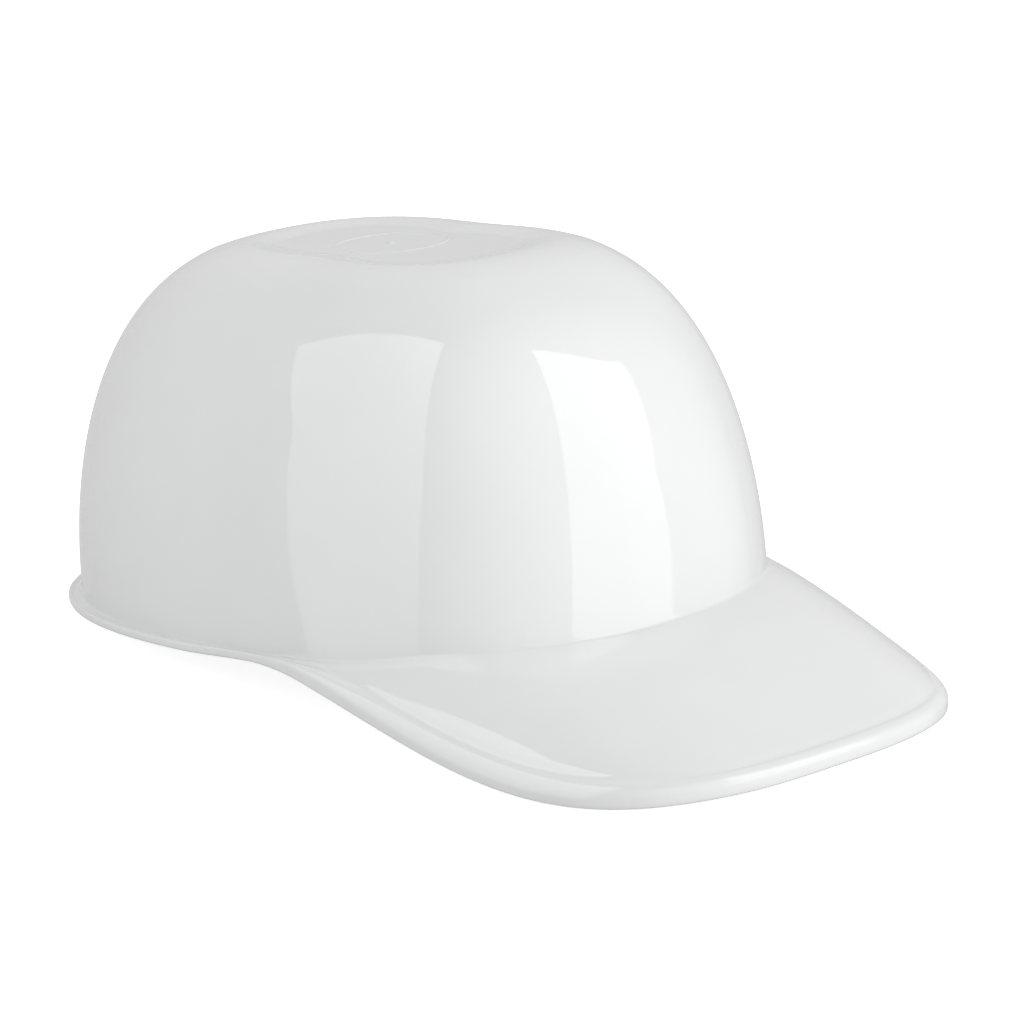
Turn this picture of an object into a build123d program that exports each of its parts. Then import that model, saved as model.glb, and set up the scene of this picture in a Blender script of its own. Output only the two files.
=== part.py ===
from build123d import *
import math
import os

# One-piece moulded batting helmet with a visor, and the adjustable headband that hangs inside it.
# All sizes are in millimetres. The helmet is drawn in its own axes: the rim plane is z = 0, the
# visor points to -Y, +Z is up and +X is the wearer's left. The last step tips it back until it
# rests on its rear rim and on its visor, as it does on a table.

# ---- Shell -------------------------------------------------------------------------------------
SHELL_HALF_WIDTH = 93.0        # outside of the dome at the rim
SHELL_HALF_LENGTH = 117.9
SHELL_HEIGHT = 113.2           # of the full dome curve, before its top is cut level
CROWN_CUT = 3.8                # the crown is cut level this far under the top of that curve
WALL = 2.2
DOME_SHIFT = 1.95              # the dome stands this far back on the rim
PLAN_POWER_FRONT = 2.55        # superellipse powers: rim plan, and how the dome closes with height
PLAN_POWER_BACK = 2.47
RISE_POWER = 2.0
SIDE_POWER = 3.05
FRONT_POWER = 4.31
BACK_POWER = 3.76

# ---- Crown dish and mark -----------------------------------------------------------------------
DISH_DEPTH = 1.1
DISH_LAND = 1.5                # level rim left round the dish
DISH_FLARE = 5.0               # the dish is this much wider at its mouth than at its floor
CROWN_RING_RADIUS = 18.7
CROWN_RING_WIDTH = 0.9
CROWN_RING_RISE = 0.4
GATE_RADIUS = 1.6
GATE_RISE = 0.6

# ---- Flange, visor and rolled lip --------------------------------------------------------------
FLANGE = 5.5                   # the rim stands this far out from the dome
VISOR_SWELL = 2.4              # the visor is this much wider than the dome, on each side
VISOR_LENGTH = 68.5            # from the dome's front to the visor's front edge
VISOR_POWER = 3.51
VISOR_START = 37.7             # the visor begins this far ahead of the centre
VISOR_TURN = 12.7              # half the run over which the flange bends down into the visor
VISOR_SLOPE = 0.266            # drop per millimetre forward at the start
VISOR_SWEEP = 0.00165          # how the slope steepens towards the front, per millimetre squared
VISOR_ARCH = 13.4              # crosswise arch where the visor leaves the dome
VISOR_TIP_ARCH = 44.3          # crosswise arch at the front edge, at the visor's full width
VISOR_ARCH_POWER = 4.29        # flat in the middle, turned down towards the sides
SWELL_FROM = -3.1              # degrees ahead of the side where the rim turns into the visor
SWELL_TO = 17.5
LIP_WIDTH = 4.4
LIP_RISE = 0.5                 # the lip stands this much above the visor
LIP_HEIGHT = 6.0               # at the visor
FLANGE_DIP = 3.0               # behind the visor the flange's top is this much lower, and the lip thinner

# ---- Headband ----------------------------------------------------------------------------------
BAND_GAP = 14.5                # from the shell's inside to the band, at the sides
BAND_GAP_FRONT = 14.5
BAND_GAP_BACK = 21.5
BAND_THICK = 1.4
BAND_BOTTOM = 5.0              # above the rim plane
BAND_HEIGHT = 21.0
BAND_FRONT_ARC = 20.0          # the forehead curve starts this far ahead of the centre
STRAP_HEIGHT = 16.0
STRAP_GAP = 0.3                # between the overlapping legs
SIZE_TRAVEL = 14.0             # the rear strap slides this far each way
STUD_Y = -4.0
STUD_RADIUS = 2.5
STUD_CLEARANCE = 0.1
STUD_HEAD_RADIUS = 4.6
STUD_HEAD_THICK = 1.2
SLOT_END = 6.0                 # strap left beyond the end of its slot

# ---- Hanger keys and their sockets -------------------------------------------------------------
FRONT_KEY_ANGLE = 52.0         # degrees round the forehead curve, from the side
REAR_KEY_Y = 22.0
EAR_WIDTH = 18.0
EAR_HEIGHT = 10.0              # above the band's top edge
KEY_GAP = 0.3                  # between a flat key and the curved band
KEY_WIDTH = 12.0
KEY_PLATE = 2.0
KEY_WEB = 2.2
KEY_OUT = 3.9                  # from the band to the key's tab
TAB_THICK = 2.2
TAB_HEIGHT = 10.0
TAB_CLEARANCE = 0.2
SOCKET_WALL = 1.6
SNAP_RADIUS = 2.2
SNAP_CLEARANCE = 0.05
SNAP_HEAD_RADIUS = 3.4
SNAP_HEAD_THICK = 1.0

# ---- Foam pads ---------------------------------------------------------------------------------
BROW_PAD_THICK = 5.0
BROW_PAD_INSET = 1.5           # from the band's top and bottom edges
BROW_PAD_ANGLE = 38.0          # degrees round the forehead curve where the pad ends
CROWN_PAD_THICK = 9.0
CROWN_PAD_MARGIN = 4.0         # from the edge of the flat crown
PAD_GAP = 0.1                  # glue line

# ---- Values worked out from the sizes above ----------------------------------------------------
CROWN_RIM = SHELL_HEIGHT - CROWN_CUT
CROWN_HEIGHT = CROWN_RIM - DISH_DEPTH
VISOR_HALF_WIDTH = SHELL_HALF_WIDTH + VISOR_SWELL
VISOR_REACH = SHELL_HALF_LENGTH + VISOR_LENGTH
REAR_LEG_END = REAR_KEY_Y + EAR_WIDTH / 2
REAR_ARC = REAR_LEG_END + SIZE_TRAVEL + 2.0
BAND_HALF_WIDTH = SHELL_HALF_WIDTH - WALL - BAND_GAP
BAND_FRONT = SHELL_HALF_LENGTH - WALL - DOME_SHIFT - BAND_GAP_FRONT
BAND_BACK = SHELL_HALF_LENGTH - WALL + DOME_SHIFT - BAND_GAP_BACK
STRAP_HALF_WIDTH = BAND_HALF_WIDTH + STRAP_GAP + BAND_THICK
STRAP_BOTTOM = BAND_BOTTOM + (BAND_HEIGHT - STRAP_HEIGHT) / 2
STUD_Z = BAND_BOTTOM + BAND_HEIGHT / 2
EAR_TOP = BAND_BOTTOM + BAND_HEIGHT + EAR_HEIGHT
WEB_TOP = EAR_TOP
TAB_TOP = WEB_TOP + TAB_HEIGHT
SNAP_Z = EAR_TOP - EAR_HEIGHT / 2


def superellipse_radius(angle, half_x, half_y, power):
    """Distance from the centre to a superellipse, in the direction of angle (radians)."""
    across = abs(math.cos(angle) / half_x) ** power
    along = abs(math.sin(angle) / half_y) ** power
    return (across + along) ** (-1 / power)


def plan_radius(angle, half_x, half_y):
    """The helmet's plan: a little squarer at the front than at the back."""
    power = PLAN_POWER_FRONT if math.sin(angle) < 0 else PLAN_POWER_BACK
    return superellipse_radius(angle, half_x, half_y, power)


def smooth_step(value):
    value = min(1.0, max(0.0, value))
    return value * value * (3 - 2 * value)


def rim_radius(angle, inset=0.0):
    """Plan of the helmet's outer edge: a flange round the dome that swells into the visor."""
    flange = plan_radius(angle, SHELL_HALF_WIDTH + FLANGE, SHELL_HALF_LENGTH + FLANGE)
    visor = superellipse_radius(angle, VISOR_HALF_WIDTH, VISOR_REACH, VISOR_POWER)
    ahead = math.degrees(math.atan2(-math.sin(angle), abs(math.cos(angle))))
    share = smooth_step((ahead - SWELL_FROM) / (SWELL_TO - SWELL_FROM))
    return flange + (visor - flange) * share - inset


def brim_height(x, y, dip=FLANGE_DIP):
    """Height of the flange and visor's top surface over the rim plane."""
    ahead = -y - VISOR_START
    sunk = dip * (1 - smooth_step((ahead + VISOR_TURN) / (3 * VISOR_TURN)))
    if ahead < -VISOR_TURN:
        run = 0.0
    elif ahead < VISOR_TURN:
        run = (ahead + VISOR_TURN) ** 2 / (4 * VISOR_TURN)
    else:
        run = ahead
    share = run / (VISOR_REACH - VISOR_START)
    rise = smooth_step(run / (4 * VISOR_TURN))
    arch = VISOR_ARCH * (1 - share) * rise + VISOR_TIP_ARCH * share
    across = 1 - abs(x / VISOR_HALF_WIDTH) ** VISOR_ARCH_POWER
    return arch * across - VISOR_SLOPE * run - VISOR_SWEEP * run * run - sunk


def dome_share(angle, height, full_height):
    """How wide the dome still is at a height, as a share of its width at the rim."""
    level = min(1.0, max(0.0, height) / full_height)
    end_power = FRONT_POWER if math.sin(angle) < 0 else BACK_POWER
    power = SIDE_POWER + (end_power - SIDE_POWER) * math.sin(angle) ** 2
    return (1 - level**RISE_POWER) ** (1 / power)


def closed_outline(radius_at, z, count, shift=0.0):
    points = []
    for index in range(count):
        angle = 2 * math.pi * index / count
        radius = radius_at(angle)
        points.append((radius * math.cos(angle), radius * math.sin(angle) + shift, z))
    return make_face(Spline(*points, periodic=True))


def dome_outline(inset, z, narrowed=0.0, level=None):
    """The dome's section at height z, or the one at another level drawn at z, made narrower all round."""
    height = z if level is None else level

    def radius_at(angle):
        plan = plan_radius(angle, SHELL_HALF_WIDTH - inset, SHELL_HALF_LENGTH - inset)
        return plan * dome_share(angle, height, SHELL_HEIGHT - inset) - narrowed

    return closed_outline(radius_at, z, 24, DOME_SHIFT)


def dome(inset, foot, top):
    """The dome as a solid, inset from its outer face, from a level foot below the rim to a flat top."""
    levels = [foot, foot / 2, 0]
    levels += [top * share for share in (0.2, 0.4, 0.58, 0.72, 0.83, 0.91, 0.96, 1)]
    return loft([dome_outline(inset, z) for z in levels])


def brim_surface(offset, dip):
    """The flange and visor's top surface, moved up by offset, larger than the helmet's plan."""
    half_x = max(VISOR_HALF_WIDTH, SHELL_HALF_WIDTH + FLANGE) * 1.12
    front = -VISOR_REACH * 1.06
    back = (SHELL_HALF_LENGTH + FLANGE) * 1.12
    across, along = 24, 40
    rows = []
    for row in range(along + 1):
        y = front + (back - front) * row / along
        xs = [half_x * (2 * column / across - 1) for column in range(across + 1)]
        rows.append([(x, y, brim_height(x, y, dip) + offset) for x in xs])
    return Face.make_surface_from_array_of_points(rows)


def brim_layer(top_offset, depth, dip=FLANGE_DIP):
    return extrude(brim_surface(top_offset, dip), amount=depth, dir=(0, 0, -1))


def plan_prism(inset):
    deep = VISOR_REACH * 0.6
    face = closed_outline(lambda angle: rim_radius(angle, inset), -deep, 96)
    return extrude(face, amount=2 * deep, dir=(0, 0, 1))


def band_shape(half_width, depth, arc_y, leg_y, toward):
    """Plan of a U-shaped strip: half an ellipse with two straight legs, solid inside."""
    side = Pos(0, arc_y + toward * depth) * Rectangle(4 * half_width, 2 * depth)
    arc = Pos(0, arc_y) * Ellipse(half_width, depth) & side
    legs = Pos(0, (arc_y + leg_y) / 2) * Rectangle(2 * half_width, abs(leg_y - arc_y))
    return arc + legs


def band(half_width, depth, arc_y, leg_y, toward, bottom, height, thick=BAND_THICK, inset=0.0):
    """A U-shaped strip on edge; half_width and depth are to its outer face."""
    outer = band_shape(half_width - inset, depth - inset, arc_y, leg_y, toward)
    cut = inset + thick
    inner = band_shape(half_width - cut, depth - cut, arc_y, leg_y - toward, toward)
    return Pos(0, 0, bottom) * extrude(outer - inner, amount=height)


def key_places():
    """Name and plane of each hanger key, on the band's outer face; the plane's x points outward."""
    depth = BAND_FRONT - BAND_FRONT_ARC
    turn = math.radians(FRONT_KEY_ANGLE)
    front_x = BAND_HALF_WIDTH * math.cos(turn)
    front_y = -BAND_FRONT_ARC - depth * math.sin(turn)
    out_x = math.cos(turn) / BAND_HALF_WIDTH
    out_y = -math.sin(turn) / depth
    places = {}
    for side_name, side in (("left", 1), ("right", -1)):
        places["front_" + side_name] = Plane(
            origin=(side * front_x, front_y, 0), x_dir=(side * out_x, out_y, 0), z_dir=(0, 0, 1)
        )
        places["rear_" + side_name] = Plane(
            origin=(side * BAND_HALF_WIDTH, REAR_KEY_Y, 0), x_dir=(side, 0, 0), z_dir=(0, 0, 1)
        )
    return places


def block(plane, out_from, out_to, width, low, high):
    """A box in a key's plane, from one distance outward to another."""
    middle = Pos((out_from + out_to) / 2, 0, (low + high) / 2)
    return plane * middle * Box(out_to - out_from, width, high - low)


def cross_pin(plane, radius, out_from, out_to, z):
    """A cylinder through the band, along a key plane's outward direction."""
    pin = Cylinder(radius, out_to - out_from)
    return plane * Pos((out_from + out_to) / 2, 0, z) * Rot(0, 90, 0) * pin


def make_shell():
    deep = 4 * LIP_HEIGHT
    plan = plan_prism(0)
    body = dome(0, -SHELL_HEIGHT * 0.5, CROWN_RIM) - crown_dish()
    body += plan & brim_layer(0, deep)
    body += (plan - plan_prism(LIP_WIDTH - LIP_RISE)) & brim_layer(LIP_RISE, deep)
    body &= brim_layer(2 * SHELL_HEIGHT, 2 * SHELL_HEIGHT + LIP_HEIGHT - LIP_RISE, 0)
    body -= plan_prism(LIP_WIDTH) & brim_layer(-WALL, deep)
    body -= dome(WALL, -SHELL_HEIGHT * 0.6, CROWN_HEIGHT - WALL)
    mid_wall = dome(WALL / 2, -SHELL_HEIGHT * 0.1, CROWN_HEIGHT - WALL)
    bottom = WEB_TOP + TAB_CLEARANCE
    top = TAB_TOP + TAB_CLEARANCE
    tab_out = KEY_OUT + TAB_THICK
    for plane in key_places().values():
        width = KEY_WIDTH + 2 * TAB_CLEARANCE
        housing = block(
            plane,
            KEY_OUT - TAB_CLEARANCE - SOCKET_WALL,
            SHELL_HALF_WIDTH,
            width + 2 * SOCKET_WALL,
            bottom,
            top + SOCKET_WALL,
        )
        pocket = block(
            plane, KEY_OUT - TAB_CLEARANCE, tab_out + TAB_CLEARANCE, width, bottom - 1, top
        )
        body += (housing & mid_wall) - pocket
        body -= pocket
    return body + crown_mark()


def crown_dish():
    """The space of the shallow dish in the crown, carried on above the crown's level rim."""
    floor = dome_outline(0, CROWN_HEIGHT, DISH_LAND + DISH_FLARE, CROWN_RIM)
    above = dome_outline(0, CROWN_RIM + DISH_DEPTH, DISH_LAND - DISH_FLARE, CROWN_RIM)
    return loft([floor, above])


def crown_mark():
    """The raised ring and the gate nub in the middle of the crown's dish."""
    sunk = WALL / 2
    ring_face = Circle(CROWN_RING_RADIUS) - Circle(CROWN_RING_RADIUS - CROWN_RING_WIDTH)
    ring = extrude(ring_face, amount=CROWN_RING_RISE + sunk)
    gate = extrude(Circle(GATE_RADIUS), amount=GATE_RISE + sunk)
    return Pos(0, DOME_SHIFT, CROWN_HEIGHT - sunk) * (ring + gate)


def make_front_band():
    depth = BAND_FRONT - BAND_FRONT_ARC
    shape = (BAND_HALF_WIDTH, depth, -BAND_FRONT_ARC, REAR_LEG_END, -1)
    strip = band(*shape, BAND_BOTTOM, BAND_HEIGHT)
    tall = band(*shape, BAND_BOTTOM, BAND_HEIGHT + EAR_HEIGHT)
    for plane in key_places().values():
        ear_face = RectangleRounded(BAND_HEIGHT + 2 * EAR_HEIGHT, EAR_WIDTH, EAR_WIDTH * 0.3)
        ear_block = extrude(ear_face, amount=4 * EAR_WIDTH, both=True)
        turned = plane * Pos(0, 0, EAR_TOP - BAND_HEIGHT / 2 - EAR_HEIGHT) * Rot(0, 90, 0) * ear_block
        near = block(plane, -EAR_WIDTH, EAR_WIDTH, 2 * EAR_WIDTH, 0, 2 * EAR_TOP)
        strip += tall & (turned & near)
        strip -= cross_pin(plane, SNAP_RADIUS + SNAP_CLEARANCE, -EAR_WIDTH, EAR_WIDTH, SNAP_Z)
    for plane in stud_planes().values():
        strip -= cross_pin(plane, STUD_RADIUS, -EAR_WIDTH, EAR_WIDTH, STUD_Z)
    return strip


def stud_planes():
    planes = {}
    for side_name, side in (("left", 1), ("right", -1)):
        planes[side_name] = Plane(
            origin=(side * BAND_HALF_WIDTH, STUD_Y, 0), x_dir=(side, 0, 0), z_dir=(0, 0, 1)
        )
    return planes


def make_rear_strap():
    depth = BAND_BACK - REAR_ARC
    slot_reach = SIZE_TRAVEL + STUD_RADIUS + STUD_CLEARANCE
    leg_front = STUD_Y - slot_reach - SLOT_END
    strap = band(STRAP_HALF_WIDTH, depth, REAR_ARC, leg_front, 1, STRAP_BOTTOM, STRAP_HEIGHT)
    slot_face = SlotOverall(2 * slot_reach, 2 * (STUD_RADIUS + STUD_CLEARANCE))
    slot = extrude(slot_face, amount=2 * STRAP_HALF_WIDTH, both=True)
    side_plane = Plane(origin=(0, STUD_Y, STUD_Z), x_dir=(0, 1, 0), z_dir=(1, 0, 0))
    return strap - side_plane * slot


def make_stud(plane):
    """A shouldered stud: riveted in the front band, with its head over the rear strap's slot."""
    outer_face = STRAP_GAP + BAND_THICK
    head_from = outer_face + STUD_CLEARANCE
    shank = cross_pin(plane, STUD_RADIUS, -BAND_THICK, head_from, STUD_Z)
    head = cross_pin(plane, STUD_HEAD_RADIUS, head_from, head_from + STUD_HEAD_THICK, STUD_Z)
    rivet = cross_pin(
        plane, STUD_HEAD_RADIUS * 0.8, -BAND_THICK - STUD_HEAD_THICK, -BAND_THICK, STUD_Z
    )
    return shank + head + rivet


def make_key(plane):
    """A Z-shaped clip: a plate snapped to the band's ear, a web, and a tab up into the socket."""
    plate = block(plane, KEY_GAP, KEY_GAP + KEY_PLATE, KEY_WIDTH, EAR_TOP - EAR_HEIGHT + 1, WEB_TOP)
    web = block(plane, KEY_GAP, KEY_OUT + TAB_THICK, KEY_WIDTH, WEB_TOP - KEY_WEB, WEB_TOP)
    tab = block(plane, KEY_OUT, KEY_OUT + TAB_THICK, KEY_WIDTH, WEB_TOP - KEY_WEB, TAB_TOP)
    head_face = -BAND_THICK - KEY_GAP
    snap = cross_pin(plane, SNAP_RADIUS, head_face, KEY_GAP, SNAP_Z)
    head = cross_pin(plane, SNAP_HEAD_RADIUS, head_face - SNAP_HEAD_THICK, head_face, SNAP_Z)
    return plate + web + tab + snap + head


def make_brow_pad():
    depth = BAND_FRONT - BAND_FRONT_ARC
    bottom = BAND_BOTTOM + BROW_PAD_INSET
    height = BAND_HEIGHT - 2 * BROW_PAD_INSET
    strip = band(
        BAND_HALF_WIDTH,
        depth,
        -BAND_FRONT_ARC,
        REAR_LEG_END,
        -1,
        bottom,
        height,
        BROW_PAD_THICK,
        BAND_THICK + PAD_GAP,
    )
    end_y = -BAND_FRONT_ARC - depth * math.sin(math.radians(BROW_PAD_ANGLE))
    keep = Pos(0, end_y - depth, 0) * Box(4 * BAND_HALF_WIDTH, 2 * depth, 4 * EAR_TOP)
    return strip & keep


def make_crown_pad():
    inside_height = SHELL_HEIGHT - WALL
    flat_half = (SHELL_HALF_WIDTH - WALL) * dome_share(0, CROWN_HEIGHT - WALL, inside_height)
    pad = Cylinder(flat_half - CROWN_PAD_MARGIN, CROWN_PAD_THICK)
    top = CROWN_HEIGHT - WALL - PAD_GAP
    return Pos(0, DOME_SHIFT, top - CROWN_PAD_THICK / 2) * pad


def rest_pitch():
    """Angle, in degrees, that tips the helmet back until rear rim and visor touch one plane."""
    edge = []
    for step in range(360):
        angle = math.radians(step)
        x = rim_radius(angle) * math.cos(angle)
        y = rim_radius(angle) * math.sin(angle)
        edge.append((y, brim_height(x, y, 0)))
    low, high = 0.0, 30.0
    for _ in range(40):
        middle = (low + high) / 2
        turn = math.radians(middle)
        heights = [(y, z * math.cos(turn) - y * math.sin(turn)) for y, z in edge]
        back = min(z for y, z in heights if y > 0)
        front = min(z for y, z in heights if y < 0)
        if front < back:
            low = middle
        else:
            high = middle
    return (low + high) / 2


def main():
    pieces = {
        "shell": make_shell(),
        "front_band": make_front_band(),
        "rear_strap": make_rear_strap(),
        "brow_pad": make_brow_pad(),
        "crown_pad": make_crown_pad(),
    }
    for name, plane in key_places().items():
        pieces["hanger_key_" + name] = make_key(plane)
    for name, plane in stud_planes().items():
        pieces["size_stud_" + name] = make_stud(plane)

    tipped = {name: Rot(-rest_pitch(), 0, 0) * piece for name, piece in pieces.items()}
    box = tipped["shell"].bounding_box()
    lift = Pos(0, -(box.min.Y + box.max.Y) / 2, -box.min.Z)
    os.makedirs("parts", exist_ok=True)
    for name, piece in tipped.items():
        export_step(lift * piece, "parts/" + name + ".step")
    print("rest pitch", round(rest_pitch(), 3), "lift", lift.position)
    print("band outer half width", BAND_HALF_WIDTH, "front", BAND_FRONT, "back", BAND_BACK)


main()
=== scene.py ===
import math

import bmesh
import bpy
import numpy as np
from mathutils import Matrix, Vector


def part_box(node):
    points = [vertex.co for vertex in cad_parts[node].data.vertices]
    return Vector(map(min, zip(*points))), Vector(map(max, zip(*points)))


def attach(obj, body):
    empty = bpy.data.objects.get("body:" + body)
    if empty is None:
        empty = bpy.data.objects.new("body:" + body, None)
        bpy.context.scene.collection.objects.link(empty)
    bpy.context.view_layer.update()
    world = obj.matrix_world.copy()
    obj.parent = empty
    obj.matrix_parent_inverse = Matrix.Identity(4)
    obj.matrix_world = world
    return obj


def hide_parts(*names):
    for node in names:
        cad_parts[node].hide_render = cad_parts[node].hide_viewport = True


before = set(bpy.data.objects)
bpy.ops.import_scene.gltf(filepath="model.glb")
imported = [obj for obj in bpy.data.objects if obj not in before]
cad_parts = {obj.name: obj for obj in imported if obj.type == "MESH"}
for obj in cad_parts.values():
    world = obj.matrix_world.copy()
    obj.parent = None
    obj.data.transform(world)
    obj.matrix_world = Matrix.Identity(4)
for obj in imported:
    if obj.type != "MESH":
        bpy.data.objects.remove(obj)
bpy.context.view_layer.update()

# Looks of a one-piece moulded batting helmet. Shapes are worked out in the helmet's own axes, in
# millimetres: rim plane z = 0, visor toward -Y, +X the wearer's left. to_row() tips them back onto
# the table and turns them into metres.
MM = 0.001

# ---- Shell, the same sizes as in the CAD model -------------------------------------------------
HALF_WIDTH = 93.0
HALF_LENGTH = 117.9
HEIGHT = 113.2
CROWN_RIM = HEIGHT - 3.8
DISH_DEPTH = 1.1
CROWN_HEIGHT = CROWN_RIM - DISH_DEPTH
WALL = 2.2
DOME_SHIFT = 1.95
PLAN_POWER_FRONT = 2.55
PLAN_POWER_BACK = 2.47
RISE_POWER = 2.0
SIDE_POWER = 3.05
FRONT_POWER = 4.31
BACK_POWER = 3.76
RING_RADIUS = 18.7
RING_WIDTH = 0.9
RING_RISE = 0.25
GATE_RADIUS = 1.6
GATE_RISE = 0.6
FLANGE = 5.5
VISOR_HALF_WIDTH = HALF_WIDTH + 2.4
VISOR_REACH = HALF_LENGTH + 68.5
VISOR_POWER = 3.51
VISOR_START = 37.7
VISOR_TURN = 12.7
VISOR_SLOPE = 0.266
VISOR_SWEEP = 0.00165
VISOR_ARCH = 13.4
VISOR_TIP_ARCH = 44.3
VISOR_ARCH_POWER = 4.29
SWELL_FROM = -3.1
SWELL_TO = 17.5
LIP_WIDTH = 4.4
LIP_RISE = 0.5
LIP_DROP = 5.5
FLANGE_DIP = 3.0

REST_PITCH = math.radians(6.469)
COLUMNS = 310

# ---- Headband and pads -------------------------------------------------------------------------
BAND_HALF_WIDTH = HALF_WIDTH - WALL - 14.5
BAND_FRONT = HALF_LENGTH - WALL - DOME_SHIFT - 14.5
BAND_FRONT_ARC = 20.0
BAND_BOTTOM = 5.0
BAND_HEIGHT = 21.0
PAD_INSET = 1.5                # from the band's outer face to the brow pad's back, and from its edges
BROW_PAD_THICK = 5.0
BROW_PAD_ANGLE = 38.0
CROWN_PAD_RADIUS = 33.3
CROWN_PAD_TOP = CROWN_HEIGHT - WALL - 0.1
CROWN_PAD_THICK = 9.0
FRONT_KEY_ANGLE = 52.0
REAR_KEY_Y = 22.0
SOCKET_FROM = 2.1              # the housing and its pocket, outward from the band
POCKET_FROM = 3.7
POCKET_TO = 6.3
POCKET_WIDTH = 12.4
SOCKET_WALL = 1.6
SOCKET_BOTTOM = 36.2
POCKET_TOP = 46.2

# ---- Rounded edges that the CAD model leaves out -----------------------------------------------
CROWN_ROUND = 3.2              # how far the crown's rim is rounded, down the wall
CROWN_LAND = 6.0               # and in over the crown
DISH_FLARE = 10.5              # width of the soft step down into the crown's dish
FILLET_SIDE = 2.6
FILLET_FRONT = 1.0
GROOVE_WIDTH = 1.8             # inside the rolled lip
GROOVE_DEPTH = 0.35
NARROWEST_LIP = 0.4            # share of its full width that the lip keeps where the flange is short
SHOULDER_SHARE = 0.78          # the lip's shoulder and crest, as shares of its width from the edge
SHOULDER_RISE = 0.15
CREST_SHARE = 0.55
LIP_TOP_ROUND = 1.9
LIP_FACE_SHARE = 0.32          # of the lip's height, taken by the rounding at its top
LIP_FLAT_SHARE = 0.08          # and by the flat below that rounding
LIP_UNDER_ROUND = 1.5
LIP_INNER_ROUND = 0.9
RECESS_ROUND = 1.2             # inner corners under the visor
INNER_ROUND = 3.0


def smooth_step(value):
    value = np.clip(value, 0.0, 1.0)
    return value * value * (3 - 2 * value)


def rest_lift():
    """Where the helmet's origin sits in the row frame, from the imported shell's box."""
    low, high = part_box("shell")
    angle = np.linspace(0, 2 * math.pi, 20000)
    rim = rim_points(angle, 0.0)
    back = tipped(rim[:, 1], rim[:, 2] + LIP_RISE)[0].max()
    low_y, low_z = tipped(rim[:, 1], rim[:, 2] - lip_fall(rim))
    middle = (low[1] + high[1]) / 2 / MM
    return middle - (low_y.min() + back) / 2, -low_z.min()


def tipped(y, z):
    c, s = math.cos(REST_PITCH), math.sin(REST_PITCH)
    return y * c + z * s, z * c - y * s


def superellipse_radius(angle, half_x, half_y, power):
    across = np.abs(np.cos(angle) / half_x) ** power
    along = np.abs(np.sin(angle) / half_y) ** power
    return (across + along) ** (-1 / power)


def plan_radius(angle, half_x, half_y):
    power = np.where(np.sin(angle) < 0, PLAN_POWER_FRONT, PLAN_POWER_BACK)
    return superellipse_radius(angle, half_x, half_y, power)


def rim_radius(angle):
    flange = plan_radius(angle, HALF_WIDTH + FLANGE, HALF_LENGTH + FLANGE)
    visor = superellipse_radius(angle, VISOR_HALF_WIDTH, VISOR_REACH, VISOR_POWER)
    ahead = np.degrees(np.arctan2(-np.sin(angle), np.abs(np.cos(angle))))
    return flange + (visor - flange) * smooth_step((ahead - SWELL_FROM) / (SWELL_TO - SWELL_FROM))


def brim_height(x, y):
    """Height of the flange and visor's top surface over the rim plane."""
    ahead = -y - VISOR_START
    bend = (ahead + VISOR_TURN) ** 2 / (4 * VISOR_TURN)
    run = np.where(ahead < -VISOR_TURN, 0.0, np.where(ahead < VISOR_TURN, bend, ahead))
    share = run / (VISOR_REACH - VISOR_START)
    arch = VISOR_ARCH * (1 - share) * smooth_step(run / (4 * VISOR_TURN)) + VISOR_TIP_ARCH * share
    across = 1 - np.abs(x / VISOR_HALF_WIDTH) ** VISOR_ARCH_POWER
    return arch * across - VISOR_SLOPE * run - VISOR_SWEEP * run * run - flange_sunk(y)


def flange_sunk(y):
    """How much lower the flange's top is than the rim plane, behind the visor."""
    return FLANGE_DIP * (1 - smooth_step((-y - VISOR_START + VISOR_TURN) / (3 * VISOR_TURN)))


def lip_fall(points):
    """How far the lip's bottom is under the brim's top."""
    return LIP_DROP - flange_sunk(points[:, 1])


def rim_points(angle, inset):
    """Points on the brim's top, that far in from the outer edge, square to it."""
    step = 1e-4
    radius = rim_radius(angle)
    ahead, behind = rim_radius(angle + step), rim_radius(angle - step)
    x, y = radius * np.cos(angle), radius * np.sin(angle)
    along_x = ahead * np.cos(angle + step) - behind * np.cos(angle - step)
    along_y = ahead * np.sin(angle + step) - behind * np.sin(angle - step)
    length = np.hypot(along_x, along_y)
    x = x - inset * along_y / length
    y = y + inset * along_x / length
    return np.stack([x, y, brim_height(x, y)], -1)


def end_power(angle):
    ends = np.where(np.sin(angle) < 0, FRONT_POWER, BACK_POWER)
    return SIDE_POWER + (ends - SIDE_POWER) * np.sin(angle) ** 2


def dome_point(angle, share, inset=0.0):
    """A point of the dome where it is that share of its width at the rim."""
    plan = plan_radius(angle, HALF_WIDTH - inset, HALF_LENGTH - inset)
    rise = np.clip(1 - share ** end_power(angle), 0.0, 1.0) ** (1 / RISE_POWER)
    x = plan * share * np.cos(angle)
    y = plan * share * np.sin(angle) + DOME_SHIFT
    return np.stack([x, y, (HEIGHT - inset) * rise], -1)


def dome_share(angle, z, inset=0.0):
    level = np.clip(z / (HEIGHT - inset), 0.0, 1.0)
    return (1 - level**RISE_POWER) ** (1 / end_power(angle))


def wall_at(angle, z, inset=0.0):
    """The dome's wall at a height; below the rim plane it goes straight down."""
    point = dome_point(angle, dome_share(angle, z, inset), inset)
    point[..., 2] = z
    return point


def foot_of_wall(angle, inset, offset):
    """Where the wall meets the brim surface moved by offset."""
    point = wall_at(angle, np.zeros_like(angle), inset)
    for _ in range(12):
        point = wall_at(angle, brim_height(point[:, 0], point[:, 1]) + offset, inset)
    return point


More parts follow.
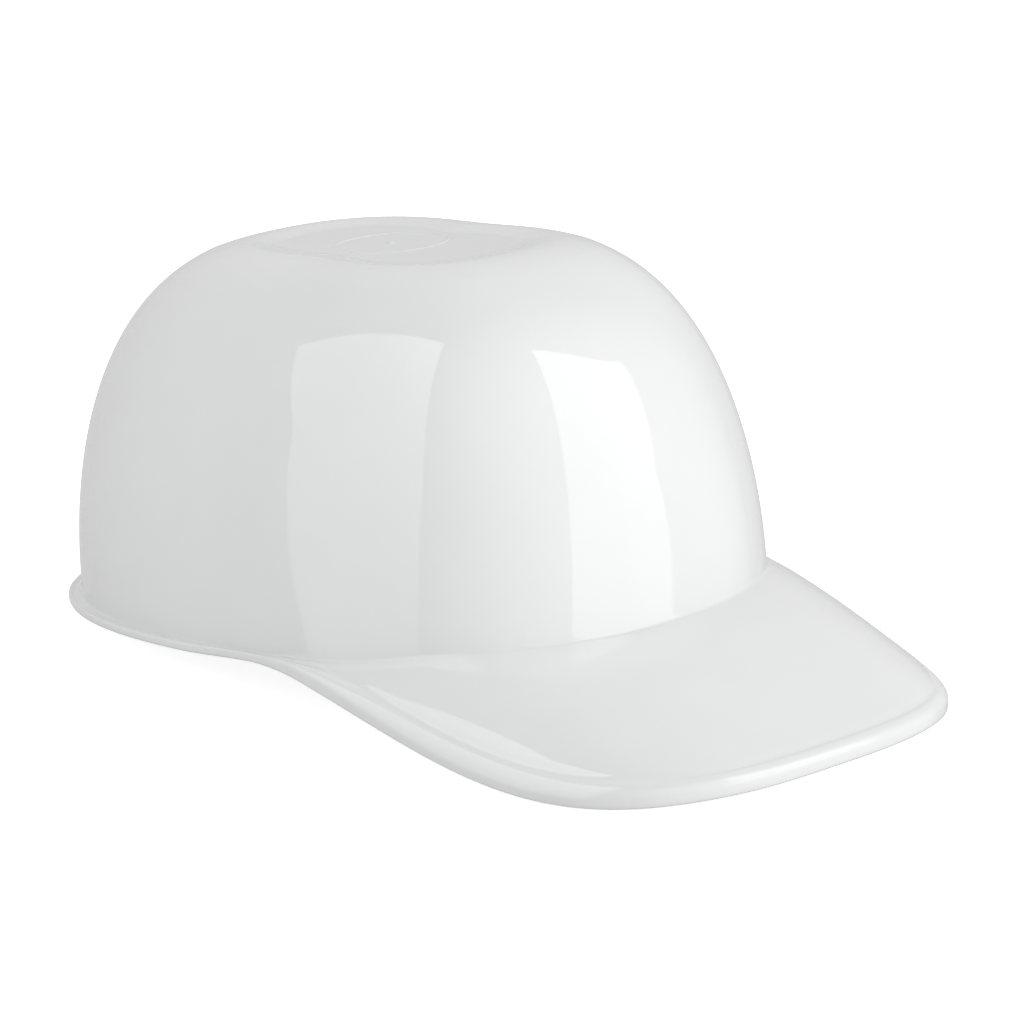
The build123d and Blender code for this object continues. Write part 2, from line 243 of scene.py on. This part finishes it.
def bend(start, corner, end, count):
    """Rows of a rounded corner, without its first point."""
    rows = []
    for index in range(1, count + 1):
        t = index / count
        rows.append(start * (1 - t) ** 2 + corner * 2 * t * (1 - t) + end * t**2)
    return rows


def raised(points, rise):
    moved = points.copy()
    moved[:, 2] += rise
    return moved


def crown_rows(angle):
    """The dish floor with the gate nub and the raised ring, out to a circle a bit wider than it."""
    ring_middle = RING_RADIUS - RING_WIDTH / 2
    radii = [0.35, 0.7, 1.0, 1.2, 1.35, 1.5, 1.65, 1.8, 2.0, 2.4, 3.2, 4.5, 6.5, 9.0, 12.0, 14.5, 16.0]
    radii += [ring_middle + RING_WIDTH * t for t in np.linspace(-1.1, 1.1, 19)]
    radii += [19.6, 20.6]
    rows = []
    for radius in radii:
        gate = GATE_RISE * (1 - smooth_step((radius - GATE_RADIUS * 0.55) / (GATE_RADIUS * 0.6)))
        offset = (radius - ring_middle) / (RING_WIDTH * 0.72)
        ring = RING_RISE * (1 - smooth_step(abs(offset)))
        x = radius * np.cos(angle)
        y = radius * np.sin(angle) + DOME_SHIFT
        rows.append(np.stack([x, y, np.full_like(angle, CROWN_HEIGHT + gate + ring)], -1))
    return rows


def crown_floor(rim, mark):
    """Rows over the crown, from the mark's outer circle to where the rounded rim begins."""
    middle = np.array([0.0, DOME_SHIFT, CROWN_RIM])
    reach = np.hypot(*(rim - middle)[:, :2].T)[:, None]
    floor_edge = rim + (middle - rim) * (CROWN_LAND + DISH_FLARE) / reach
    floor_edge[:, 2] = CROWN_HEIGHT
    rows = [mark + (floor_edge - mark) * t for t in (0.25, 0.5, 0.75, 0.9)]
    for t in np.linspace(0, 1, 13):
        point = rim + (middle - rim) * (CROWN_LAND + DISH_FLARE * (1 - t)) / reach
        point[:, 2] = CROWN_HEIGHT + DISH_DEPTH * smooth_step(t)
        rows.append(point)
    return rows


def shell_rows(angle):
    """Closed rings of the shell's surface, from the middle of the crown round to its underside."""
    rows = crown_rows(angle)
    crown_edge = wall_at(angle, np.full_like(angle, CROWN_RIM))
    rows += crown_floor(crown_edge, rows[-1])
    rim_low = wall_at(angle, np.full_like(angle, CROWN_RIM - CROWN_ROUND))
    rows += bend(rows[-1], crown_edge, rim_low, 9)

    # outer wall, down to the fillet over the brim
    foot = foot_of_wall(angle, 0.0, 0.0)
    front = smooth_step((-np.sin(angle) - 0.25) / 0.45)    # 1 ahead of the dome, 0 at its sides
    fillet = FILLET_SIDE + (FILLET_FRONT - FILLET_SIDE) * front
    fillet_top = foot[:, 2] + fillet
    turn_from = np.arcsin(dome_share(angle, rim_low[:, 2]) ** (end_power(angle) / 2))
    turn_to = np.arcsin(dome_share(angle, fillet_top) ** (end_power(angle) / 2))
    for t in np.linspace(0, 1, 70)[1:-1]:
        turn = turn_from + (turn_to - turn_from) * t
        rows.append(dome_point(angle, np.sin(turn) ** (2 / end_power(angle))))
    wall_end = wall_at(angle, fillet_top)
    rows.append(wall_end)

    # fillet, brim and the groove inside the rolled lip
    outline = rim_points(angle, 0.0)
    room = np.hypot(*(outline - foot)[:, :2].T)
    narrow = np.clip((room - FILLET_SIDE) / (LIP_WIDTH + GROOVE_WIDTH), NARROWEST_LIP, 1.0)
    plate_end = rim_points_at(angle, (LIP_WIDTH + GROOVE_WIDTH) * narrow)
    out = (plate_end - foot)[:, :2]
    reach = np.hypot(*out.T)
    land = np.minimum(fillet, reach * 0.8)
    brim_start = foot.copy()
    brim_start[:, :2] += out / reach[:, None] * land[:, None]
    brim_start[:, 2] = brim_height(brim_start[:, 0], brim_start[:, 1])
    rows += bend(wall_end, foot, brim_start, 9)
    for t in np.linspace(0, 1, 34)[1:]:
        point = brim_start + (plate_end - brim_start) * t
        point[:, 2] = brim_height(point[:, 0], point[:, 1])
        rows.append(point)
    low = raised(rim_points_at(angle, LIP_WIDTH * 1.05 * narrow), -GROOVE_DEPTH * narrow)
    shoulder = raised(rim_points_at(angle, LIP_WIDTH * SHOULDER_SHARE * narrow), SHOULDER_RISE)
    crest = raised(rim_points_at(angle, LIP_WIDTH * CREST_SHARE * narrow), LIP_RISE)
    crest_end = raised(rim_points_at(angle, LIP_TOP_ROUND * narrow), LIP_RISE)
    rows += bend(plate_end, low, (low + shoulder) / 2, 5)
    rows += bend((low + shoulder) / 2, shoulder, (shoulder + crest) / 2, 3)
    rows += bend((shoulder + crest) / 2, crest, crest_end, 4)
    fall = lip_fall(outline)
    upper = LIP_RISE - (LIP_RISE + fall) * LIP_FACE_SHARE
    rows += bend(rows[-1], raised(outline, LIP_RISE), raised(outline, upper), 8)
    face_end = raised(outline, upper - (LIP_RISE + fall) * LIP_FLAT_SHARE)
    under = rim_points(angle, LIP_UNDER_ROUND)
    rows += bend(face_end, raised(outline, -fall), raised(under, -lip_fall(under)), 7)

    # underside: the lip's inner edge, the recess under the visor, the wall's inside
    lip_in = rim_points(angle, LIP_WIDTH)
    inner_foot = foot_of_wall(angle, WALL, -WALL)
    gap = (inner_foot - lip_in)[:, :2]
    depth = np.hypot(*gap.T)
    soft = np.minimum(RECESS_ROUND, depth * 0.3)[:, None]
    toward = gap / depth[:, None]
    fall = lip_fall(lip_in)
    step = np.minimum(0.5, (fall - WALL) * 0.3)
    inside = rim_points(angle, LIP_WIDTH - LIP_INNER_ROUND)
    inside[:, 2] -= lip_fall(inside)
    rows += bend(inside, raised(lip_in, -fall), raised(lip_in, step - fall), 4)
    recess_start = raised(lip_in, -WALL)
    recess_start[:, :2] += toward * soft
    recess_start[:, 2] = brim_height(recess_start[:, 0], recess_start[:, 1]) - WALL
    rows += bend(raised(lip_in, 1.4 * step - fall), raised(lip_in, -WALL), recess_start, 4)
    recess_end = inner_foot.copy()
    recess_end[:, :2] -= toward * soft
    recess_end[:, 2] = brim_height(recess_end[:, 0], recess_end[:, 1]) - WALL
    for t in np.linspace(0, 1, 26)[1:]:
        point = recess_start + (recess_end - recess_start) * t
        point[:, 2] = brim_height(point[:, 0], point[:, 1]) - WALL
        rows.append(point)
    inner_start = wall_at(angle, inner_foot[:, 2] + soft[:, 0], WALL)
    rows += bend(recess_end, inner_foot, inner_start, 5)

    # inside of the dome, up to the flat under the crown
    ceiling = CROWN_HEIGHT - WALL
    turn_from = np.arcsin(dome_share(angle, inner_start[:, 2], WALL) ** (end_power(angle) / 2))
    edge = dome_share(angle, np.full_like(angle, ceiling - INNER_ROUND), WALL)
    turn_to = np.arcsin(edge ** (end_power(angle) / 2))
    for t in np.linspace(0, 1, 50)[1:]:
        turn = turn_from + (turn_to - turn_from) * t
        rows.append(dome_point(angle, np.sin(turn) ** (2 / end_power(angle)), WALL))
    corner = wall_at(angle, np.full_like(angle, ceiling), WALL)
    middle = np.array([0.0, DOME_SHIFT, ceiling])
    flat_edge = corner + (middle - corner) * 0.1
    rows += bend(rows[-1], corner, flat_edge, 6)
    for share in (0.8, 0.55, 0.3, 0.1, 0.02):
        rows.append(middle + (flat_edge - middle) * share)
    return rows


def rim_points_at(angle, inset):
    """Like rim_points, with an inset of its own for each direction."""
    outer = rim_points(angle, 0.0)
    one_in = rim_points(angle, 1.0)
    plan = outer[:, :2] + (one_in - outer)[:, :2] * np.asarray(inset).reshape(-1, 1)
    return np.column_stack([plan, brim_height(plan[:, 0], plan[:, 1])])


LIFT_Y, LIFT_Z = rest_lift()


def to_row(points):
    """Helmet axes in millimetres to the row frame in metres."""
    y, z = tipped(points[..., 1], points[..., 2])
    return np.stack([points[..., 0], y + LIFT_Y, z + LIFT_Z], -1) * MM


def new_object(name, vertices, faces, smooth=True):
    mesh = bpy.data.meshes.new(name)
    mesh.from_pydata([tuple(v) for v in vertices], [], faces)
    mesh.update()
    mesh.polygons.foreach_set("use_smooth", [smooth] * len(mesh.polygons))
    piece = bpy.data.objects.new(name, mesh)
    bpy.context.collection.objects.link(piece)
    return piece


def ring_mesh(name, rows, first_pole, last_pole):
    """A closed surface through rings of points, with a fan at each end."""
    count = len(rows[0])
    vertices = [first_pole] + [p for row in rows for p in row] + [last_pole]
    faces = []
    for column in range(count):
        following = (column + 1) % count
        faces.append((0, 1 + column, 1 + following))
        for row in range(len(rows) - 1):
            start = 1 + row * count
            below = start + count
            faces.append((start + column, below + column, below + following, start + following))
        start = 1 + (len(rows) - 1) * count
        faces.append((start + following, start + column, len(vertices) - 1))
    return new_object(name, to_row(np.array(vertices)), faces)


def socket_frames():
    """Origin and outward direction of each key socket, in plan."""
    depth = BAND_FRONT - BAND_FRONT_ARC
    turn = math.radians(FRONT_KEY_ANGLE)
    front = Vector((BAND_HALF_WIDTH * math.cos(turn), -BAND_FRONT_ARC - depth * math.sin(turn)))
    out = Vector((math.cos(turn) / BAND_HALF_WIDTH, -math.sin(turn) / depth)).normalized()
    frames = []
    for side in (1, -1):
        frames.append(((side * front.x, front.y), (side * out.x, out.y)))
        frames.append(((side * BAND_HALF_WIDTH, REAR_KEY_Y), (side, 0.0)))
    return frames


def block(name, frame_of_key, out_from, out_to, width, low, high):
    (x, y), (out_x, out_y) = frame_of_key
    corners = []
    for height in (low, high):
        for out, across in ((out_from, -1), (out_to, -1), (out_to, 1), (out_from, 1)):
            step = across * width / 2
            corners.append((x + out * out_x - step * out_y, y + out * out_y + step * out_x, height))
    faces = [(3, 2, 1, 0), (4, 5, 6, 7), (0, 1, 5, 4), (1, 2, 6, 5), (2, 3, 7, 6), (3, 0, 4, 7)]
    return new_object(name, to_row(np.array(corners)), faces, smooth=False)


def cut(piece, tool, operation):
    step = piece.modifiers.new(operation, "BOOLEAN")
    step.operation = operation
    step.solver = "EXACT"
    step.object = tool
    result = bpy.data.meshes.new_from_object(piece.evaluated_get(bpy.context.evaluated_depsgraph_get()))
    piece.modifiers.clear()
    piece.data = result


def add_sockets(shell):
    """The four sockets moulded inside the dome, as part of the shell's mesh."""
    angle = np.linspace(0, 2 * math.pi, 180, endpoint=False)
    rows = [wall_at(angle, np.full_like(angle, z), WALL / 2) for z in np.linspace(70, 20, 26)]
    poles = [np.array([0.0, DOME_SHIFT, z]) for z in (70.0, 20.0)]
    middle_of_wall = ring_mesh("middle_of_wall", rows, poles[0], poles[1])
    parts = [shell]
    for number, key in enumerate(socket_frames()):
        top = POCKET_TOP + SOCKET_WALL
        wide = POCKET_WIDTH + 2 * SOCKET_WALL
        housing = block(f"socket_{number}", key, SOCKET_FROM, HALF_WIDTH / 2, wide, SOCKET_BOTTOM, top)
        low = SOCKET_BOTTOM - 3
        pocket = block("pocket", key, POCKET_FROM, POCKET_TO, POCKET_WIDTH, low, POCKET_TOP)
        cut(housing, middle_of_wall, "INTERSECT")
        cut(housing, pocket, "DIFFERENCE")
        bpy.data.objects.remove(pocket)
        parts.append(housing)
    bpy.data.objects.remove(middle_of_wall)
    joined = bmesh.new()
    for part in parts:
        joined.from_mesh(part.data)
    joined.to_mesh(shell.data)
    joined.free()
    for housing in parts[1:]:
        bpy.data.objects.remove(housing)


def make_shell():
    angle = np.linspace(0, 2 * math.pi, COLUMNS, endpoint=False)
    rows = shell_rows(angle)
    top = np.array([0.0, DOME_SHIFT, CROWN_HEIGHT + GATE_RISE])
    bottom = np.array([0.0, DOME_SHIFT, CROWN_HEIGHT - WALL])
    shell = ring_mesh("helmet_shell", rows, top, bottom)
    add_sockets(shell)
    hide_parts("shell")
    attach(shell, "helmet")
    return shell


# ---- Foam pads ---------------------------------------------------------------------------------
def signed_power(value, power):
    return np.sign(value) * np.abs(value) ** power


def make_brow_pad():
    """A knit-covered foam strip, sewn across into channels, that lies along the front band."""
    steps, channels = 260, 9
    half_x = BAND_HALF_WIDTH - PAD_INSET
    half_y = BAND_FRONT - BAND_FRONT_ARC - PAD_INSET
    end = math.radians(BROW_PAD_ANGLE + 2.2)
    ring = np.linspace(0, 2 * math.pi, 56, endpoint=False)
    middle_z = BAND_BOTTOM + BAND_HEIGHT / 2
    rows = []
    for u in 0.5 - 0.5 * np.cos(np.linspace(0.03, math.pi - 0.03, steps)):
        turn = end + (math.pi - 2 * end) * u
        outward = np.array([math.cos(turn) / half_x, -math.sin(turn) / half_y])
        outward /= np.hypot(*outward)
        swell = abs(math.sin(math.pi * channels * u)) ** 0.5
        closing = (1 - abs(2 * u - 1) ** 26) ** 0.5
        thick = BROW_PAD_THICK * (0.6 + 0.38 * swell) * (0.35 + 0.65 * closing)
        tall = (BAND_HEIGHT / 2 - PAD_INSET) * (0.955 + 0.04 * swell) * (0.8 + 0.2 * closing)
        across = signed_power(np.cos(ring), np.where(np.cos(ring) < 0, 0.3, 0.8))
        depth = thick * (across + 1) / 2
        x = half_x * math.cos(turn) - depth * outward[0]
        y = -BAND_FRONT_ARC - half_y * math.sin(turn) - depth * outward[1]
        z = middle_z + tall * signed_power(np.sin(ring), 0.72)
        rows.append(np.stack([x, y, z], -1))
    pad = ring_mesh("sweatband_pad", rows, rows[0].mean(0), rows[-1].mean(0))
    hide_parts("brow_pad")
    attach(pad, "headband")
    return pad


def make_crown_pad():
    """A crowned foam disc, flat on the crown, with a seam round its edge and two sewn lines."""
    angle = np.linspace(0, 2 * math.pi, 240, endpoint=False)
    radius = CROWN_PAD_RADIUS
    seam = 3.0
    rows = []
    for share in np.linspace(0.02, 0.95, 24):
        rows.append((share * radius, np.zeros_like(angle)))
    for turn in np.linspace(0.1, 1.0, 9) * math.pi / 2:
        out = radius * 0.95 + (radius * 0.045) * math.sin(turn)
        rows.append((out, np.full_like(angle, (seam - 0.3) * (1 - math.cos(turn)))))
    rows.append((radius * 0.982, np.full_like(angle, seam)))
    for share in np.sin(np.linspace(1.45, 0.01, 62)):
        out = share * radius * 0.995
        down = seam + 0.35 + (CROWN_PAD_THICK - seam - 0.4) * (1 - share**4) ** 0.6
        sewn = 1.9 * np.exp(-((out * np.cos(2 * angle) / 2 / 1.7) ** 2))
        ring = 1.2 * math.exp(-(((share - 0.55) * radius / 1.5) ** 2))
        fade = (1 - share**8) * min(1.0, share / 0.1)
        rows.append((out, down - np.maximum(sewn, ring) * fade))
    points = []
    for out, down in rows:
        x = out * np.cos(angle)
        y = out * np.sin(angle) + DOME_SHIFT
        points.append(np.stack([x, y, CROWN_PAD_TOP - down], -1))
    middle = np.array([0.0, DOME_SHIFT, CROWN_PAD_TOP])
    pad = ring_mesh("crown_cushion", points, middle, points[-1].mean(0))
    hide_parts("crown_pad")
    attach(pad, "helmet")
    return pad


# ---- Materials ---------------------------------------------------------------------------------
def material(name):
    made = bpy.data.materials.new(name)
    made.use_nodes = True
    return made, made.node_tree.nodes, made.node_tree.links, made.node_tree.nodes["Principled BSDF"]


def noise(nodes, links, scale, detail=3.0):
    place = nodes.new("ShaderNodeTexCoord")
    texture = nodes.new("ShaderNodeTexNoise")
    texture.inputs["Scale"].default_value = scale
    texture.inputs["Detail"].default_value = detail
    links.new(place.outputs["Object"], texture.inputs["Vector"])
    return texture.outputs["Fac"]


def ranged(nodes, links, value, low, high):
    node = nodes.new("ShaderNodeMapRange")
    node.inputs["To Min"].default_value = low
    node.inputs["To Max"].default_value = high
    links.new(value, node.inputs["Value"])
    return node.outputs["Result"]


def tinted(nodes, links, value, low, high):
    ramp = nodes.new("ShaderNodeValToRGB")
    ramp.color_ramp.elements[0].position = 0.3
    ramp.color_ramp.elements[1].position = 0.7
    ramp.color_ramp.elements[0].color = (*low, 1)
    ramp.color_ramp.elements[1].color = (*high, 1)
    links.new(value, ramp.inputs["Fac"])
    return ramp.outputs["Color"]


def bump(nodes, links, value, shader, depth, strength=0.5):
    node = nodes.new("ShaderNodeBump")
    node.inputs["Strength"].default_value = strength
    node.inputs["Distance"].default_value = depth
    links.new(value, node.inputs["Height"])
    links.new(node.outputs["Normal"], shader.inputs["Normal"])


def plastic(name, low, high, rough, bump_scale, bump_depth, coat=0.0):
    made, nodes, links, shader = material(name)
    cloud = noise(nodes, links, 18.0)
    links.new(tinted(nodes, links, cloud, low, high), shader.inputs["Base Color"])
    grain = noise(nodes, links, bump_scale, 4.0)
    links.new(ranged(nodes, links, grain, rough[0], rough[1]), shader.inputs["Roughness"])
    bump(nodes, links, grain, shader, bump_depth)
    shader.inputs["IOR"].default_value = 1.55
    shader.inputs["Coat Weight"].default_value = coat
    shader.inputs["Coat Roughness"].default_value = 0.03
    shader.inputs["Coat IOR"].default_value = 1.6
    return made


def fabric(name, low, high, stitches):
    """A fine knit: a bump of small Voronoi cells for the stitches, over a mottled colour."""
    made, nodes, links, shader = material(name)
    cloud = noise(nodes, links, 240.0, 6.0)
    links.new(tinted(nodes, links, cloud, low, high), shader.inputs["Base Color"])
    links.new(ranged(nodes, links, cloud, 0.82, 0.95), shader.inputs["Roughness"])
    place = nodes.new("ShaderNodeTexCoord")
    loops = nodes.new("ShaderNodeTexVoronoi")
    loops.inputs["Scale"].default_value = stitches
    links.new(place.outputs["Object"], loops.inputs["Vector"])
    bump(nodes, links, loops.outputs["Distance"], shader, 0.0003, 0.8)
    shader.inputs["Sheen Weight"].default_value = 0.35
    shader.inputs["Sheen Roughness"].default_value = 0.5
    return made


def ribbed(made):
    """Gives a plastic the fine upright ribs of the strap as its bump, in place of its grain bump."""
    nodes, links = made.node_tree.nodes, made.node_tree.links
    place = nodes.new("ShaderNodeTexCoord")
    ribs = nodes.new("ShaderNodeTexWave")
    ribs.bands_direction = "Y"
    ribs.inputs["Scale"].default_value = 130.0
    links.new(place.outputs["Object"], ribs.inputs["Vector"])
    bump(nodes, links, ribs.outputs["Fac"], nodes["Principled BSDF"], 0.0002, 0.6)
    return made


def wear(name, made):
    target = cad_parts[name]
    target.data.materials.clear()
    target.data.materials.append(made)


# ---- Stage -------------------------------------------------------------------------------------
def emitter(name, low, high):
    """A glow that grows with height, from low at the floor to high at 0.9 m."""
    made = bpy.data.materials.new(name)
    made.use_nodes = True
    nodes, links = made.node_tree.nodes, made.node_tree.links
    nodes.clear()
    place = nodes.new("ShaderNodeTexCoord")
    split = nodes.new("ShaderNodeSeparateXYZ")
    links.new(place.outputs["Object"], split.inputs["Vector"])
    level = nodes.new("ShaderNodeMapRange")
    level.inputs["From Max"].default_value = 0.9
    level.inputs["To Min"].default_value = low
    level.inputs["To Max"].default_value = high
    links.new(split.outputs["Z"], level.inputs["Value"])
    glow = nodes.new("ShaderNodeEmission")
    links.new(level.outputs["Result"], glow.inputs["Strength"])
    output = nodes.new("ShaderNodeOutputMaterial")
    links.new(glow.outputs["Emission"], output.inputs["Surface"])
    return made


def direction(azimuth, elevation):
    """Azimuth 0 is toward the front of the helmet, and 90 toward its +X side."""
    a, e = math.radians(azimuth), math.radians(elevation)
    return Vector((math.sin(a) * math.cos(e), -math.cos(a) * math.cos(e), math.sin(e)))


def softbox(name, corners, distance, low, high):
    """A glowing panel whose corners lie in these directions from the helmet's middle."""
    vertices = [tuple(LOOK_AT + direction(a, e) * distance * reach) for a, e, reach in corners]
    panel = new_object(name, vertices, [tuple(range(len(vertices)))], smooth=False)
    panel.data.materials.append(emitter(name, low, high))
    panel.visible_camera = False
    return panel


LOOK_AT = Vector((0.02185, 0.01371, 0.03934))


def add_camera():
    """A long lens from the wearer's front right, a little above, as the reference view has it."""
    azimuth, elevation, roll, distance, lens = -42.381, 17.535, 0.135, 1.5499, 167.62
    back = direction(azimuth, elevation)
    camera = bpy.data.objects.new("camera", bpy.data.cameras.new("camera"))
    camera.data.lens = lens
    camera.data.sensor_width = 36.0
    camera.location = LOOK_AT + back * distance
    turn = back.to_track_quat("Z", "Y") @ Matrix.Rotation(math.radians(roll), 4, "Z").to_quaternion()
    camera.rotation_euler = turn.to_euler()
    bpy.context.collection.objects.link(camera)
    bpy.context.scene.camera = camera


def by_ray(nodes, links, seen, lighting):
    """A strength that the camera sees as one value, and the light on the helmet as another."""
    path = nodes.new("ShaderNodeLightPath")
    level = nodes.new("ShaderNodeMapRange")
    level.inputs["To Min"].default_value = lighting
    level.inputs["To Max"].default_value = seen
    links.new(path.outputs["Is Camera Ray"], level.inputs["Value"])
    return level.outputs["Result"]


def lobe(nodes, links, toward, strength):
    """Soft light from one side: strongest along toward, and nothing from behind it."""
    place = nodes.new("ShaderNodeTexCoord")
    facing = nodes.new("ShaderNodeVectorMath")
    facing.operation = "DOT_PRODUCT"
    facing.inputs[1].default_value = toward
    links.new(place.outputs["Generated"], facing.inputs[0])
    level = nodes.new("ShaderNodeMapRange")
    level.inputs["To Max"].default_value = strength
    links.new(facing.outputs["Value"], level.inputs["Value"])
    return level.outputs["Result"]


EVEN_LIGHT = 0.087
SIDE_LIGHTS = [
    ((0, 0, 1), 0.26),
    ((1, 0, 0), 0.29),
    ((0, -1, 0), 0.78),
    ((0, 1, 0), 0.49),
    (Vector((1, -1, 0.3)).normalized(), 0.37),
]
FLOOR_GLOW = 0.85


def add_world(seen, even, lobes):
    """The camera sees a clean pale backdrop; the helmet is lit by a soft dimmer studio."""
    world = bpy.data.worlds.new("studio")
    world.use_nodes = True
    nodes, links = world.node_tree.nodes, world.node_tree.links
    background = nodes["Background"]
    background.inputs["Color"].default_value = (1, 1, 1, 1)
    total = None
    for toward, strength in lobes:
        part = lobe(nodes, links, toward, strength)
        add = nodes.new("ShaderNodeMath")
        add.inputs[0].default_value = even
        if total:
            links.new(total, add.inputs[0])
        links.new(part, add.inputs[1])
        total = add.outputs["Value"]
    level = by_ray(nodes, links, seen, 0.0)
    links.new(total, level.node.inputs["To Min"])
    links.new(level, background.inputs["Strength"])
    bpy.context.scene.world = world


def add_floor(seen, lighting):
    size = 6.0
    corners = [(-size, -size, 0), (size, -size, 0), (size, size, 0), (-size, size, 0)]
    floor = new_object("floor", corners, [(0, 1, 2, 3)], smooth=False)
    made, nodes, links, shader = material("floor")
    speck = noise(nodes, links, 2.0)
    pale = tinted(nodes, links, speck, (0.90, 0.90, 0.90), (0.91, 0.91, 0.91))
    links.new(pale, shader.inputs["Base Color"])
    shader.inputs["Roughness"].default_value = 0.9
    shader.inputs["Emission Color"].default_value = (1, 1, 1, 1)
    links.new(by_ray(nodes, links, seen, lighting), shader.inputs["Emission Strength"])
    floor.data.materials.append(made)
    floor.visible_glossy = False


# corners of the two softboxes, as azimuth, elevation and share of their distance
SIDE_CORNERS = [
    (-68, -11, 1), (-109, -16, 1), (-123, 18.5, 1), (-146, 35, 1), (-71, 71, 1), (-66, 17, 1)]
FRONT_CORNERS = [
    (37.5, -8.5, 1), (2.5, -7, 1), (11.5, 31.5, 1), (23.5, 59.5, 1), (49.5, 36.5, 1), (39, 12.5, 1)]
SOFTBOX_DISTANCE = 0.9


def add_lights():
    softbox("softbox_side", SIDE_CORNERS, SOFTBOX_DISTANCE, 0.68, 1.4)
    softbox("softbox_front", FRONT_CORNERS, SOFTBOX_DISTANCE, 1.92 * 0.95, 1.92 * 1.15)


shell_look = plastic(
    "white_gloss_plastic", (0.84, 0.845, 0.845), (0.87, 0.875, 0.875), (0.05, 0.075), 900.0, 0.000004,
    coat=1.0)
band_look = plastic(
    "band_plastic", (0.77, 0.77, 0.75), (0.82, 0.82, 0.80), (0.3, 0.42), 1500.0, 0.00002)
strap_look = ribbed(plastic(
    "strap_plastic", (0.73, 0.735, 0.73), (0.78, 0.785, 0.78), (0.36, 0.48), 1300.0, 0.00002))
key_look = plastic(
    "key_plastic", (0.69, 0.69, 0.67), (0.74, 0.74, 0.72), (0.34, 0.5), 1900.0, 0.00003)
stud_look = plastic(
    "stud_plastic", (0.22, 0.23, 0.25), (0.26, 0.27, 0.29), (0.32, 0.46), 2100.0, 0.00003)
sweatband_look = fabric("sweatband_fabric", (0.15, 0.16, 0.18), (0.19, 0.20, 0.22), 1500.0)
pad_look = fabric("pad_fabric", (0.18, 0.19, 0.21), (0.22, 0.23, 0.25), 1100.0)

make_shell().data.materials.append(shell_look)
make_brow_pad().data.materials.append(sweatband_look)
make_crown_pad().data.materials.append(pad_look)
wear("front_band", band_look)
wear("rear_strap", strap_look)
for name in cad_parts:
    if name.startswith("hanger_key"):
        wear(name, key_look)
    if name.startswith("size_stud"):
        wear(name, stud_look)

add_camera()
add_world(1.0, EVEN_LIGHT, SIDE_LIGHTS)
add_floor(FLOOR_GLOW, 0.0)
add_lights()
bpy.context.scene.view_settings.view_transform = "Standard"
